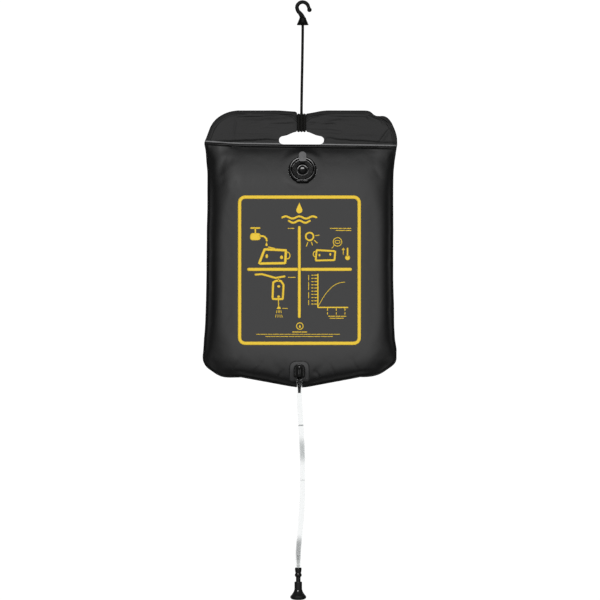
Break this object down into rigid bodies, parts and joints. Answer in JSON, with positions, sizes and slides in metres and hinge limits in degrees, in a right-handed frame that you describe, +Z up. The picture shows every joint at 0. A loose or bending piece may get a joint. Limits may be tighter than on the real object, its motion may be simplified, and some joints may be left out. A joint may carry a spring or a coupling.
{
  "type": "camp shower bag",
  "caption": "Welded PVC water bag with a filler plug, hung by a cord from a swivelling hook, with a clear hose and a push-pull shower head.",
  "frame": {"origin": "the hook's seat: inside of the crook at its highest point, where a branch or rail carries it", "axes": "+Z up along the hanging cord, the filler valve and the print face -Y, +X to the right seen from the front"},
  "size_m": [0.4008, 0.0829, 1.2413],
  "materials": {
    "black_plastic": "moulded, satin gloss",
    "black_cord": "braided",
    "grey_pvc": "smooth film, slightly shiny",
    "valve_pvc": "moulded, soft gloss",
    "clear_pvc": "clear",
    "pale_plastic": "moulded",
    "seal_rubber": "matt"
  },
  "bodies": {
    "hook": {"hanging_hook": "black_plastic"},
    "bag": {"stop_knot": "black_cord", "hanging_cord": "black_cord", "cord_hitch": "black_cord", "front_panel": "grey_pvc", "back_panel": "grey_pvc", "filler_neck": "valve_pvc", "cap_strap": "valve_pvc", "outlet_patch": "grey_pvc", "outlet_elbow": "valve_pvc"},
    "cap": {"filler_cap": "valve_pvc"},
    "shower": {"hose": "clear_pvc", "hose_tail": "pale_plastic", "valve_stem": "black_plastic", "stem_seal": "seal_rubber"},
    "rose": {"rose_bell": "black_plastic", "rose_plate": "black_plastic"}
  },
  "joints": [
    {"name": "hook_swivel", "type": "hinge", "parent": "hook", "child": "bag", "pos_m": [0, 0, -0.0362], "axis": [0, 0, 1], "continuous": true},
    {"name": "cap_hinge", "type": "hinge", "parent": "bag", "child": "cap", "pos_m": [-0.0004, -0.03925, -0.36535], "axis": [1, 0, 0], "range_deg": [0, 150], "deforming": ["cap_strap"]},
    {"name": "hose_swing", "type": "hinge", "parent": "bag", "child": "shower", "pos_m": [-0.0069, -0.02971, -0.8052], "axis": [1, 0, 0], "range_deg": [-60, 60], "deforming": ["hose"]},
    {"name": "rose_slide", "type": "slide", "parent": "shower", "child": "rose", "axis": [0, 0, 1], "range_m": [0, 0.004]}
  ]
}
